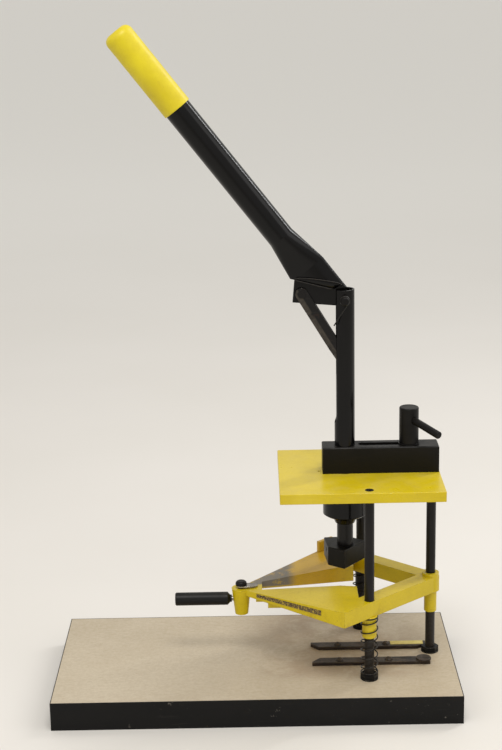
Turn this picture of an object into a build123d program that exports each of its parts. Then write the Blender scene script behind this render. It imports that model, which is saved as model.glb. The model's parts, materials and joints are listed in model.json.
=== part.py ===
from build123d import *
from math import atan2, cos, degrees, hypot, radians, sin
import os

# A bench press for tags and labels. A hand lever on a slotted column drives a ram through a toggle link.
# The ram's five-sided punch head passes through a kite-shaped frame, which slides on three posts.
# Millimetres, +Z up, +X to the operator's right, +Y away. The origin is the middle of the board's underside.

os.makedirs("parts", exist_ok=True)

# ---- driving dimensions -------------------------------------------------------------------------------
BOARD_W = 500.0
BOARD_D = 250.0
BOARD_T = 36.0
LAMINATE = 1.0
EDGE_BAND = 1.0

AXIS_X = 114.5
AXIS_Y = 6.0

POST_R = 6.0
POST_SIDE = 77.0
POST_FRONT_X = 139.5
POST_RIGHT_X = 222.5
WASHER_R = 11.0
WASHER_T = 1.6
FOOT_NUT_AF = 19.0
FOOT_NUT_T = 5.6

PLATE_W = 199.0
PLATE_D = 174.0
PLATE_T = 12.5
PLATE_X = 131.5
PLATE_Y = 4.0
PLATE_TOP = BOARD_T + 246.0
PLATE_UNDER = PLATE_TOP - PLATE_T

BLOCK_LEFT = 86.5
BLOCK_RIGHT = 230.0
BLOCK_D = 30.0
BLOCK_H = 33.5
BLOCK_TOP = PLATE_TOP + BLOCK_H
SLOT_LEFT = 131.0
SLOT_RIGHT = 200.5
SLOT_W = 10.8

COLUMN_R = 12.5
COLUMN_BORE = 10.5
COLUMN_TOP = BOARD_T + 476.0
COLUMN_SLOT_W = 15.2
COLUMN_SLOT_FOOT = BOARD_T + 308.0

PIVOT_Z = BOARD_T + 464.5
PIVOT_R = 4.0
FIT = 0.05
ARM_X = -51.5
ARM_Z = 7.0
RAM_PIN_DROP = 78.5
LINK_T = 3.8
LINK_W = 15.0
LINK_EYE_R = 6.5
LINK_PIN_R = 3.5
BRACKET_T = 6.0
SIDE_GAP = 0.2

TUBE_R = 16.25
TUBE_WALL = 2.0
TUBE_LEAN = 37.7
TUBE_OFFSET = 12.8
TUBE_ROUND_FROM = 106.0
TUBE_FLAT_TO = 56.0
TUBE_TOP = 405.5
FLAT_HALF_W = 24.0
FLAT_HALF_T = 6.5
GRIP_R = 17.9
GRIP_FROM = 301.5
GRIP_LENGTH = 113.5

RAM_R = 10.1
BUSH_R = 12.0
GUIDE_FLANGE_R = 27.5
GUIDE_NOSE_R = 17.0
GUIDE_TIP_R = 12.4
GUIDE_LIP_R = 10.7
GUIDE_LIP_H = 7.0
GUIDE_FOOT = BOARD_T + 178.0
HEAD_FOOT = BOARD_T + 124.0
HEAD_H = 24.5
HEAD_CORNERS = ((-2.0, -26.0), (25.9, 9.5), (6.5, 25.0), (-25.5, 23.5), (-22.0, -11.2))
HEAD_BORE_FLOOR = 9.0

FRAME_FOOT = BOARD_T + 84.0
FRAME_H = 20.0
FRAME_CORNER_X = 107.0
FRAME_HALF_D = 115.3
FRAME_APEX_X = -17.5
FRAME_APEX_H = 6.5
BOSS_R = 10.6
APEX_BOSS_R = 12.2
BAR_INNER_X = 205.0
OPENING_LEFT_X = 127.0
GAP_LEFT_X = 9.0
GAP_NARROW = 13.0
GAP_WIDE = 33.0

CLAMP_X = 193.8
CLAMP_R = 12.0
CLAMP_H = 45.3
CLAMP_BAR_R = 4.6
CLAMP_BAR_REACH = 60.0
CLAMP_BAR_AZIMUTH = -58.0
CLAMP_BAR_DROOP = 8.0
CLAMP_BAR_Z = BOARD_T + 312.5

RAIL_W = 15.0
RAIL_T = 4.5
RAIL_LEFT = 70.5
RAIL_RIGHT = 219.0
RAIL_FRONT_Y = -27.0
RAIL_REAR_Y = 19.0

SPRING_WIRE_R = 0.8
SPRING_R = 10.2
SPRING_TURNS = 7

# ---- places worked out from them ----------------------------------------------------------------------
POSTS = {
    "front": (POST_FRONT_X, AXIS_Y - POST_SIDE),
    "rear": (POST_FRONT_X, AXIS_Y + POST_SIDE),
    "right": (POST_RIGHT_X, AXIS_Y),
}
FOOT_TOP = BOARD_T + WASHER_T + FOOT_NUT_T
LINK_TOP = Vector(AXIS_X + ARM_X, AXIS_Y, PIVOT_Z + ARM_Z)
LINK_FOOT = Vector(AXIS_X, AXIS_Y, PIVOT_Z - RAM_PIN_DROP)
RAM_SHOULDER = LINK_FOOT.Z - 17.0
FRAME_SLOPE = (FRAME_H - FRAME_APEX_H) / (FRAME_CORNER_X - FRAME_APEX_X)
BAR_SLOPE = FRAME_HALF_D / (POST_RIGHT_X + 14.5 - FRAME_CORNER_X)


def rod(x, y, z, radius, height):
    """An upright round bar standing at height z."""
    with BuildPart(Plane.XY.offset(z)) as bar:
        with Locations((x, y)):
            Cylinder(radius, height, align=(Align.CENTER, Align.CENTER, Align.MIN))
    return bar


# ---- base board ---------------------------------------------------------------------------------------
with BuildPart() as base_board:
    Box(
        BOARD_W - 2 * EDGE_BAND,
        BOARD_D - 2 * EDGE_BAND,
        BOARD_T - LAMINATE,
        align=(Align.CENTER, Align.CENTER, Align.MIN),
    )
    for foot_x, foot_y in POSTS.values():
        with Locations((foot_x, foot_y, BOARD_T - LAMINATE)):
            Hole(POST_R, depth=28.0)
base_board.part.label = "base_board"
export_step(base_board.part, "parts/base_board.step")

with BuildPart(Plane.XY.offset(BOARD_T - LAMINATE)) as base_laminate:
    Box(
        BOARD_W - 2 * EDGE_BAND,
        BOARD_D - 2 * EDGE_BAND,
        LAMINATE,
        align=(Align.CENTER, Align.CENTER, Align.MIN),
    )
    for foot_x, foot_y in POSTS.values():
        with Locations((foot_x, foot_y, LAMINATE)):
            Hole(POST_R)
base_laminate.part.label = "base_laminate"
export_step(base_laminate.part, "parts/base_laminate.step")

with BuildPart() as base_edge_band:
    with BuildSketch() as band_ring:
        Rectangle(BOARD_W, BOARD_D)
        Rectangle(BOARD_W - 2 * EDGE_BAND, BOARD_D - 2 * EDGE_BAND, mode=Mode.SUBTRACT)
    extrude(amount=BOARD_T)
base_edge_band.part.label = "base_edge_band"
export_step(base_edge_band.part, "parts/base_edge_band.step")


# ---- guide rails on the board -------------------------------------------------------------------------
RAIL_SCREW_X = (105.0, 167.0)
RAIL_SCREW_R = 2.0
RAIL_HEAD_R = 5.2
FUNNEL_X = 10.0
FUNNEL_Y = 11.0
TAIL_X = 12.0
TAIL_Y = 6.5


def guide_rail(y, inner_side):
    """A flat bar whose inner corners are cut back: a lead-in at the left, room for the post at the right."""
    outer = y - inner_side * RAIL_W / 2
    inner = y + inner_side * RAIL_W / 2
    with BuildPart() as rail:
        with BuildSketch(Plane.XY.offset(BOARD_T)):
            with BuildLine():
                Polyline(
                    (RAIL_LEFT, outer),
                    (RAIL_RIGHT, outer),
                    (RAIL_RIGHT, inner - inner_side * TAIL_Y),
                    (RAIL_RIGHT - TAIL_X, inner),
                    (RAIL_LEFT + FUNNEL_X, inner),
                    (RAIL_LEFT, inner - inner_side * FUNNEL_Y),
                    close=True,
                )
            make_face()
        extrude(amount=RAIL_T)
        chamfer(rail.faces().sort_by(Axis.Z)[-1].edges(), length=0.5)
        for screw_x in RAIL_SCREW_X:
            with Locations((screw_x, y, BOARD_T + RAIL_T)):
                Hole(RAIL_SCREW_R)
    return rail


guide_rail_front = guide_rail(RAIL_FRONT_Y, 1)
guide_rail_front.part.label = "guide_rail_front"
export_step(guide_rail_front.part, "parts/guide_rail_front.step")

guide_rail_rear = guide_rail(RAIL_REAR_Y, -1)
guide_rail_rear.part.label = "guide_rail_rear"
export_step(guide_rail_rear.part, "parts/guide_rail_rear.step")

with BuildPart() as rail_screws:
    for screw_x in RAIL_SCREW_X:
        for screw_y in (RAIL_FRONT_Y, RAIL_REAR_Y):
            with BuildSketch(Plane.XZ.offset(-screw_y)):
                with BuildLine():
                    Line((screw_x, BOARD_T), (screw_x, BOARD_T + RAIL_T + 3.0))
                    ThreePointArc(
                        (screw_x, BOARD_T + RAIL_T + 3.0),
                        (screw_x + 3.2, BOARD_T + RAIL_T + 2.2),
                        (screw_x + RAIL_HEAD_R, BOARD_T + RAIL_T),
                    )
                    Polyline(
                        (screw_x + RAIL_HEAD_R, BOARD_T + RAIL_T),
                        (screw_x + RAIL_SCREW_R, BOARD_T + RAIL_T),
                        (screw_x + RAIL_SCREW_R, BOARD_T),
                        (screw_x, BOARD_T),
                    )
                make_face()
            revolve(axis=Axis((screw_x, screw_y, 0), (0, 0, 1)))
    for screw_x in RAIL_SCREW_X:
        for screw_y in (RAIL_FRONT_Y, RAIL_REAR_Y):
            with Locations((screw_x, screw_y, BOARD_T + RAIL_T + 2.6)):
                Box(2 * RAIL_HEAD_R, 1.2, 1.6, mode=Mode.SUBTRACT)
rail_screws.part.label = "rail_screws"
export_step(rail_screws.part, "parts/rail_screws.step")

with BuildPart(Plane.XY.offset(BOARD_T + RAIL_T)) as rail_end_button:
    with Locations((RAIL_RIGHT - 8.0, RAIL_FRONT_Y - 1.0)):
        Cylinder(9.5, 2.4, align=(Align.CENTER, Align.CENTER, Align.MIN))
    fillet(rail_end_button.edges().group_by(Axis.Z)[-1], radius=1.0)
rail_end_button.part.label = "rail_end_button"
export_step(rail_end_button.part, "parts/rail_end_button.step")

with BuildPart(Plane.XY.offset(BOARD_T + RAIL_T)) as gauge_strip:
    with Locations((RAIL_RIGHT - 25.0, RAIL_REAR_Y + 1.8)):
        Box(42.0, RAIL_W - 5.0, 0.5, align=(Align.CENTER, Align.CENTER, Align.MIN))
gauge_strip.part.label = "gauge_strip"
export_step(gauge_strip.part, "parts/gauge_strip.step")


# ---- posts, their feet and their screws ---------------------------------------------------------------
POST_FOOT = BOARD_T - LAMINATE - 26.0
POST_SCREW_R = 2.5
POST_SCREW_DEPTH = 16.0
POST_HEAD_R = 5.4

for post_name, (post_x, post_y) in POSTS.items():
    with BuildPart(Plane.XY.offset(POST_FOOT)) as post:
        with Locations((post_x, post_y)):
            Cylinder(POST_R, PLATE_UNDER - POST_FOOT, align=(Align.CENTER, Align.CENTER, Align.MIN))
        with Locations((post_x, post_y, PLATE_UNDER - POST_FOOT)):
            Hole(POST_SCREW_R, depth=POST_SCREW_DEPTH + 2.0)
    post.part.label = f"post_{post_name}"
    export_step(post.part, f"parts/post_{post_name}.step")

with BuildPart(Plane.XY.offset(BOARD_T)) as post_washers:
    with Locations(*POSTS.values()):
        Cylinder(WASHER_R, WASHER_T, align=(Align.CENTER, Align.CENTER, Align.MIN))
        Hole(POST_R + FIT)
post_washers.part.label = "post_washers"
export_step(post_washers.part, "parts/post_washers.step")

with BuildPart() as post_nuts:
    with BuildSketch(Plane.XY.offset(BOARD_T + WASHER_T)):
        with Locations(*POSTS.values()):
            RegularPolygon(FOOT_NUT_AF / 2, 6, major_radius=False)
            Circle(POST_R + FIT, mode=Mode.SUBTRACT)
    extrude(amount=FOOT_NUT_T)
post_nuts.part.label = "post_nuts"
export_step(post_nuts.part, "parts/post_nuts.step")

with BuildPart(Plane.XY.offset(PLATE_TOP)) as plate_screws:
    with Locations(*POSTS.values()):
        Cylinder(
            POST_SCREW_R,
            PLATE_T + POST_SCREW_DEPTH,
            align=(Align.CENTER, Align.CENTER, Align.MAX),
        )
    with Locations(*[(x, y, -3.0) for x, y in POSTS.values()]):
        Cone(POST_SCREW_R, POST_HEAD_R, 3.0, align=(Align.CENTER, Align.CENTER, Align.MIN))
    with Locations(*[(x, y, -1.8) for x, y in POSTS.values()]):
        Cylinder(1.8, 1.8, align=(Align.CENTER, Align.CENTER, Align.MIN), mode=Mode.SUBTRACT)
plate_screws.part.label = "plate_screws"
export_step(plate_screws.part, "parts/plate_screws.step")


# ---- top plate ----------------------------------------------------------------------------------------
GUIDE_STEM_R = 16.0
BLOCK_SCREWS = [(x, AXIS_Y + side * 12.0) for x in (152.0, 206.0) for side in (-1, 1)]
BLOCK_SCREW_R = 2.0
BLOCK_HEAD_R = 3.5
GUIDE_SCREW_CIRCLE = 21.0
GUIDE_SCREW_R = 1.5
GUIDE_SCREWS = [
    (AXIS_X + GUIDE_SCREW_CIRCLE * cos(radians(a)), AXIS_Y + GUIDE_SCREW_CIRCLE * sin(radians(a)))
    for a in (30, 150, 270)
]
SPARE_HOLE = (82.5, 3.0)

with BuildPart(Plane.XY.offset(PLATE_UNDER)) as top_plate:
    with Locations((PLATE_X, PLATE_Y)):
        Box(PLATE_W, PLATE_D, PLATE_T, align=(Align.CENTER, Align.CENTER, Align.MIN))
    fillet(top_plate.edges().filter_by(Axis.Z), radius=2.0)
    fillet(top_plate.faces().sort_by(Axis.Z)[-1].edges(), radius=0.8)
    with Locations((AXIS_X, AXIS_Y, PLATE_T)):
        Hole(GUIDE_STEM_R)
    for post_x, post_y in POSTS.values():
        with Locations((post_x, post_y, PLATE_T)):
            CounterSinkHole(POST_SCREW_R, POST_HEAD_R, counter_sink_angle=88)
    for screw_x, screw_y in BLOCK_SCREWS:
        with Locations((screw_x, screw_y, PLATE_T)):
            Hole(BLOCK_SCREW_R)
    for screw_x, screw_y in GUIDE_SCREWS:
        with Locations((screw_x, screw_y, 0)):
            Cylinder(
                GUIDE_SCREW_R,
                9.0,
                align=(Align.CENTER, Align.CENTER, Align.MIN),
                mode=Mode.SUBTRACT,
            )
    with Locations((SPARE_HOLE[0], SPARE_HOLE[1], PLATE_T)):
        Hole(2.1)
top_plate.part.label = "top_plate"
export_step(top_plate.part, "parts/top_plate.step")


# ---- slotted block on the plate -----------------------------------------------------------------------
CHANNEL_FLOOR = 4.0
CHANNEL_H = 12.0
CHANNEL_W = 17.0
SLOT_MIDDLE = (SLOT_LEFT + SLOT_RIGHT) / 2

with BuildPart(Plane.XY.offset(PLATE_TOP)) as slotted_block:
    with Locations(((BLOCK_LEFT + BLOCK_RIGHT) / 2, AXIS_Y)):
        Box(BLOCK_RIGHT - BLOCK_LEFT, BLOCK_D, BLOCK_H, align=(Align.CENTER, Align.CENTER, Align.MIN))
    chamfer(slotted_block.faces().sort_by(Axis.Z)[-1].edges(), length=1.2)
    with Locations((AXIS_X, AXIS_Y, BLOCK_H)):
        Hole(COLUMN_R)
    with BuildSketch(Plane.XY.offset(PLATE_TOP + BLOCK_H)):
        with Locations((SLOT_MIDDLE, AXIS_Y)):
            SlotOverall(SLOT_RIGHT - SLOT_LEFT, SLOT_W)
    extrude(amount=-(BLOCK_H - CHANNEL_FLOOR), mode=Mode.SUBTRACT)
    with BuildSketch(Plane.XY.offset(PLATE_TOP + CHANNEL_FLOOR)):
        with Locations((SLOT_MIDDLE, AXIS_Y)):
            Rectangle(SLOT_RIGHT - SLOT_LEFT + 5.0, CHANNEL_W)
    extrude(amount=CHANNEL_H, mode=Mode.SUBTRACT)
    for screw_x, screw_y in BLOCK_SCREWS:
        with Locations((screw_x, screw_y, 0)):
            Cylinder(
                BLOCK_SCREW_R,
                11.0,
                align=(Align.CENTER, Align.CENTER, Align.MIN),
                mode=Mode.SUBTRACT,
            )
slotted_block.part.label = "slotted_block"
export_step(slotted_block.part, "parts/slotted_block.step")

with BuildPart(Plane.XY.offset(PLATE_UNDER)) as block_screws:
    with Locations(*BLOCK_SCREWS):
        Cylinder(BLOCK_SCREW_R, PLATE_T + 10.0, align=(Align.CENTER, Align.CENTER, Align.MIN))
        Cylinder(BLOCK_HEAD_R, 4.0, align=(Align.CENTER, Align.CENTER, Align.MAX))
block_screws.part.label = "block_screws"
export_step(block_screws.part, "parts/block_screws.step")


# ---- column -------------------------------------------------------------------------------------------
with BuildPart(Plane.XY.offset(PLATE_TOP)) as column_tube:
    with Locations((AXIS_X, AXIS_Y)):
        Cylinder(COLUMN_R, COLUMN_TOP - PLATE_TOP, align=(Align.CENTER, Align.CENTER, Align.MIN))
    with Locations((AXIS_X, AXIS_Y, COLUMN_TOP - PLATE_TOP)):
        Hole(COLUMN_BORE)
    with BuildSketch(Plane.YZ.offset(AXIS_X - COLUMN_R - 1.0)):
        with BuildLine():
            Line(
                (AXIS_Y - COLUMN_SLOT_W / 2, COLUMN_TOP + 1.0),
                (AXIS_Y + COLUMN_SLOT_W / 2, COLUMN_TOP + 1.0),
            )
            Line(
                (AXIS_Y + COLUMN_SLOT_W / 2, COLUMN_TOP + 1.0),
                (AXIS_Y + COLUMN_SLOT_W / 2, COLUMN_SLOT_FOOT + COLUMN_SLOT_W / 2),
            )
            ThreePointArc(
                (AXIS_Y + COLUMN_SLOT_W / 2, COLUMN_SLOT_FOOT + COLUMN_SLOT_W / 2),
                (AXIS_Y, COLUMN_SLOT_FOOT),
                (AXIS_Y - COLUMN_SLOT_W / 2, COLUMN_SLOT_FOOT + COLUMN_SLOT_W / 2),
            )
            Line(
                (AXIS_Y - COLUMN_SLOT_W / 2, COLUMN_SLOT_FOOT + COLUMN_SLOT_W / 2),
                (AXIS_Y - COLUMN_SLOT_W / 2, COLUMN_TOP + 1.0),
            )
        make_face()
    extrude(amount=COLUMN_R + 1.0, mode=Mode.SUBTRACT)
    with BuildSketch(Plane.XZ.offset(-AXIS_Y)):
        with Locations((AXIS_X, PIVOT_Z)):
            Circle(PIVOT_R)
    extrude(amount=COLUMN_R + 1.0, both=True, mode=Mode.SUBTRACT)
    with BuildSketch(Plane.XY.offset(COLUMN_TOP)):
        with Locations((AXIS_X + 3.0, AXIS_Y)):
            Rectangle(12.0, COLUMN_SLOT_W)
    extrude(amount=-5.0, mode=Mode.SUBTRACT)
column_tube.part.label = "column_tube"
export_step(column_tube.part, "parts/column_tube.step")


# ---- pivot at the column's top ------------------------------------------------------------------------
PIVOT_HEAD_R = 5.2
PIVOT_HEAD_T = 3.0
PIVOT_NUT_AF = 13.0
PIVOT_NUT_T = 6.0
SPRING_SPACE = 6.6

with BuildPart() as pivot_bolt:
    with BuildSketch(Plane.XZ.offset(-AXIS_Y - COLUMN_R - PIVOT_NUT_T - 2.0)):
        with Locations((AXIS_X, PIVOT_Z)):
            Circle(PIVOT_R)
    extrude(amount=2 * COLUMN_R + PIVOT_NUT_T + 2.0 + SPRING_SPACE)
    with BuildSketch(Plane.XZ.offset(-AXIS_Y + COLUMN_R + SPRING_SPACE)):
        with Locations((AXIS_X, PIVOT_Z)):
            Circle(PIVOT_HEAD_R)
    extrude(amount=PIVOT_HEAD_T)
    fillet(pivot_bolt.edges().sort_by(Axis.Y)[0], radius=1.8)
pivot_bolt.part.label = "pivot_bolt"
export_step(pivot_bolt.part, "parts/pivot_bolt.step")

with BuildPart() as pivot_nut:
    with BuildSketch(Plane.XZ.offset(-AXIS_Y - COLUMN_R)):
        with Locations((AXIS_X, PIVOT_Z)):
            RegularPolygon(PIVOT_NUT_AF / 2, 6, major_radius=False)
            Circle(PIVOT_R, mode=Mode.SUBTRACT)
    extrude(amount=-PIVOT_NUT_T)
pivot_nut.part.label = "pivot_nut"
export_step(pivot_nut.part, "parts/pivot_nut.step")

TORSION_WIRE_R = 0.8
TORSION_COIL_R = 5.4
TORSION_PITCH = 1.65
TORSION_TURNS = 2.5
TORSION_COIL_GAP = 1.5
TORSION_LEG = 34.0
TORSION_LEG_LAP = 0.6
TORSION_LEG_ANGLE = 58.0

with BuildPart() as return_spring:
    with BuildLine() as coil_path:
        Helix(
            TORSION_PITCH,
            TORSION_PITCH * TORSION_TURNS,
            TORSION_COIL_R,
            center=(AXIS_X, AXIS_Y - COLUMN_R - TORSION_COIL_GAP, PIVOT_Z),
            direction=(0, -1, 0),
        )
    coil_start = coil_path.line @ 0
    coil_run = coil_path.line % 0
    with BuildSketch(Plane(origin=coil_start, z_dir=coil_run)):
        Circle(TORSION_WIRE_R)
    sweep(path=coil_path.line)
    with BuildSketch(Plane(origin=coil_start + coil_run * TORSION_LEG_LAP, z_dir=coil_run)):
        Circle(TORSION_WIRE_R)
    extrude(amount=-TORSION_LEG)
return_spring.part = return_spring.part.rotate(
    Axis((AXIS_X, AXIS_Y, PIVOT_Z), (0, -1, 0)),
    TORSION_LEG_ANGLE,
)
return_spring.part.label = "return_spring"
export_step(return_spring.part, "parts/return_spring.step")


# ---- lever --------------------------------------------------------------------------------------------
tube_dir = Vector(-sin(radians(TUBE_LEAN)), 0, cos(radians(TUBE_LEAN)))
tube_side = Vector(cos(radians(TUBE_LEAN)), 0, sin(radians(TUBE_LEAN)))
tube_foot = Vector(AXIS_X, AXIS_Y, PIVOT_Z) - tube_side * TUBE_OFFSET


def tube_plane(distance):
    """The plane across the lever tube at a distance from the pivot: local X lies in the lever's swing."""
    return Plane(origin=tube_foot + tube_dir * distance, x_dir=tube_side, z_dir=tube_dir)


def tube_body(shrink):
    """The lever tube's outside, or its bore when shrunk by the wall: round, then squeezed flat."""
    with BuildPart() as body:
        with BuildSketch(tube_plane(TUBE_ROUND_FROM)):
            Circle(TUBE_R - shrink)
        extrude(amount=TUBE_TOP - TUBE_ROUND_FROM)
        with BuildSketch(tube_plane(TUBE_ROUND_FROM)):
            Circle(TUBE_R - shrink)
        with BuildSketch(tube_plane(TUBE_FLAT_TO)):
            Ellipse(FLAT_HALF_W - shrink, FLAT_HALF_T - shrink)
        loft()
        with BuildSketch(tube_plane(TUBE_FLAT_TO)):
            Ellipse(FLAT_HALF_W - shrink, FLAT_HALF_T - shrink)
        extrude(amount=-TUBE_FLAT_TO)
    return body


TUBE_END_LEFT = Vector(AXIS_X - 64.0, AXIS_Y, PIVOT_Z + 25.0)
TUBE_END_SLOPE = -8.5
end_plane = Plane(
    origin=TUBE_END_LEFT,
    x_dir=(cos(radians(TUBE_END_SLOPE)), 0, sin(radians(TUBE_END_SLOPE))),
    z_dir=(-sin(radians(TUBE_END_SLOPE)), 0, cos(radians(TUBE_END_SLOPE))),
)
tube_bore = tube_body(TUBE_WALL)
tube_outside = tube_body(0.0)
with BuildPart() as lever_tube:
    add(tube_outside.part)
    add(tube_bore.part, mode=Mode.SUBTRACT)
    split(bisect_by=end_plane, keep=Keep.TOP)
lever_tube.part.label = "lever_tube"
export_step(lever_tube.part, "parts/lever_tube.step")

with BuildPart() as lever_grip:
    with BuildSketch(tube_plane(GRIP_FROM)):
        Circle(GRIP_R)
    extrude(amount=GRIP_LENGTH)
    fillet(lever_grip.edges().sort_by(Axis.Z)[-1], radius=9.0)
    fillet(lever_grip.edges().sort_by(Axis.Z)[0], radius=0.6)
    with BuildSketch(tube_plane(GRIP_FROM)):
        Circle(TUBE_R)
    extrude(amount=TUBE_TOP - GRIP_FROM, mode=Mode.SUBTRACT)
lever_grip.part.label = "lever_grip"
export_step(lever_grip.part, "parts/lever_grip.step")

BRACKET_LEFT = -62.5
BRACKET_LOW_LEFT = -3.5
BRACKET_HUB_R = 9.8
TONGUE_HALF = 14.0


def in_tube(side, along):
    """A point of the lever's swing plane, given across and along the tube, as sketch X and Z."""
    point = tube_foot + tube_side * side + tube_dir * along
    return (point.X, point.Z)


with BuildPart() as lever_bracket:
    with BuildSketch(Plane.XZ.offset(-AXIS_Y)):
        with BuildLine():
            Polyline(
                (AXIS_X + BRACKET_LEFT, PIVOT_Z + BRACKET_LOW_LEFT),
                (AXIS_X - 2.0, PIVOT_Z - 9.0),
                (AXIS_X + 3.0, PIVOT_Z + 14.6),
                (AXIS_X + BRACKET_LEFT + 2.5, PIVOT_Z + 24.0),
                close=True,
            )
        make_face()
        with BuildLine():
            Polyline(
                in_tube(TONGUE_HALF, 10.0),
                in_tube(TONGUE_HALF, 34.0),
                in_tube(-TONGUE_HALF, 64.0),
                in_tube(-TONGUE_HALF, 45.0),
                close=True,
            )
        make_face()
        with Locations((AXIS_X, PIVOT_Z)):
            Circle(BRACKET_HUB_R)
            Circle(PIVOT_R + FIT, mode=Mode.SUBTRACT)
        with Locations((AXIS_X + ARM_X, PIVOT_Z + ARM_Z)):
            Circle(LINK_PIN_R + FIT, mode=Mode.SUBTRACT)
    extrude(amount=BRACKET_T / 2, both=True)
lever_bracket.part.label = "lever_bracket"
export_step(lever_bracket.part, "parts/lever_bracket.step")

# ---- toggle link: two straps, one each side of the bracket and of the ram's tongue --------------------
link_run = LINK_FOOT - LINK_TOP
link_length = hypot(link_run.X, link_run.Z)
link_angle = degrees(atan2(link_run.Z, link_run.X))
STRAP_NEAR = BRACKET_T / 2 + SIDE_GAP


def link_strap(side):
    """One strap, tapered at its lower eye so that it fits inside the column's bore."""
    face_y = AXIS_Y + side * STRAP_NEAR
    strap_plane = Plane(
        origin=(LINK_TOP.X, face_y, LINK_TOP.Z),
        x_dir=(cos(radians(link_angle)), 0, sin(radians(link_angle))),
        z_dir=(0, -1, 0),
    )
    with BuildPart() as strap:
        with BuildSketch(strap_plane):
            with BuildLine():
                Polyline(
                    (0, LINK_W / 2),
                    (link_length - 24.0, LINK_W / 2),
                    (link_length, LINK_EYE_R),
                    (link_length, -LINK_EYE_R),
                    (link_length - 24.0, -LINK_W / 2),
                    (0, -LINK_W / 2),
                    close=True,
                )
            make_face()
            Circle(LINK_W / 2)
            with Locations((link_length, 0)):
                Circle(LINK_EYE_R)
            with Locations((0, 0), (link_length, 0)):
                Circle(LINK_PIN_R, mode=Mode.SUBTRACT)
        extrude(amount=-side * LINK_T)
    return strap


for strap_name, strap_side in (("front", -1), ("rear", 1)):
    strap = link_strap(strap_side)
    strap.part.label = f"link_strap_{strap_name}"
    export_step(strap.part, f"parts/link_strap_{strap_name}.step")

PIN_HEAD_R = 4.8
PIN_HEAD_T = 0.9
STRAP_FAR = STRAP_NEAR + LINK_T

with BuildPart() as link_top_pin:
    with BuildSketch(Plane.XZ.offset(-AXIS_Y)):
        with Locations((LINK_TOP.X, LINK_TOP.Z)):
            Circle(LINK_PIN_R)
    extrude(amount=STRAP_FAR, both=True)
    for pin_side in (-1, 1):
        with BuildSketch(Plane.XZ.offset(-AXIS_Y + pin_side * STRAP_FAR)):
            with Locations((LINK_TOP.X, LINK_TOP.Z)):
                Circle(PIN_HEAD_R)
        extrude(amount=pin_side * PIN_HEAD_T)
link_top_pin.part.label = "link_top_pin"
export_step(link_top_pin.part, "parts/link_top_pin.step")

with BuildPart() as link_foot_pin:
    with BuildSketch(Plane.XZ.offset(-AXIS_Y)):
        with Locations((LINK_FOOT.X, LINK_FOOT.Z)):
            Circle(LINK_PIN_R)
    extrude(amount=STRAP_FAR, both=True)
link_foot_pin.part.label = "link_foot_pin"
export_step(link_foot_pin.part, "parts/link_foot_pin.step")


# ---- ram, its guide and the punch head ----------------------------------------------------------------
TONGUE_HALF_W = 9.0
TONGUE_OVER_PIN = 8.5
NOTCH_RIGHT = 4.6
NOTCH_UP = 4.6
NOTCH_DOWN = 12.0
RAM_FOOT = HEAD_FOOT + HEAD_BORE_FLOOR

with BuildPart(Plane.XY.offset(RAM_FOOT)) as ram_rod:
    with Locations((AXIS_X, AXIS_Y)):
        Cylinder(RAM_R, RAM_SHOULDER - RAM_FOOT, align=(Align.CENTER, Align.CENTER, Align.MIN))
    chamfer(ram_rod.edges().group_by(Axis.Z)[-1], length=0.6)
    with BuildSketch(Plane.XZ.offset(-AXIS_Y)):
        with BuildLine():
            Polyline(
                (AXIS_X - TONGUE_HALF_W, RAM_SHOULDER),
                (AXIS_X + TONGUE_HALF_W, RAM_SHOULDER),
                (AXIS_X + TONGUE_HALF_W, LINK_FOOT.Z + TONGUE_OVER_PIN),
                (AXIS_X - TONGUE_HALF_W, LINK_FOOT.Z + TONGUE_OVER_PIN),
                (AXIS_X - TONGUE_HALF_W, LINK_FOOT.Z + NOTCH_UP),
                (AXIS_X + NOTCH_RIGHT, LINK_FOOT.Z + NOTCH_UP),
                (AXIS_X + NOTCH_RIGHT, LINK_FOOT.Z - NOTCH_DOWN),
                (AXIS_X - TONGUE_HALF_W, LINK_FOOT.Z - NOTCH_DOWN),
                close=True,
            )
        make_face()
    extrude(amount=BRACKET_T / 2, both=True)
ram_rod.part.label = "ram_rod"
export_step(ram_rod.part, "parts/ram_rod.step")

BUSH_FOOT = GUIDE_FOOT + GUIDE_LIP_H
with BuildPart(Plane.XY.offset(BUSH_FOOT)) as ram_bush:
    with Locations((AXIS_X, AXIS_Y)):
        Cylinder(BUSH_R, PLATE_TOP - BUSH_FOOT, align=(Align.CENTER, Align.CENTER, Align.MIN))
    with Locations((AXIS_X, AXIS_Y, PLATE_TOP - BUSH_FOOT)):
        Hole(RAM_R + FIT)
ram_bush.part.label = "ram_bush"
export_step(ram_bush.part, "parts/ram_bush.step")

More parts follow.
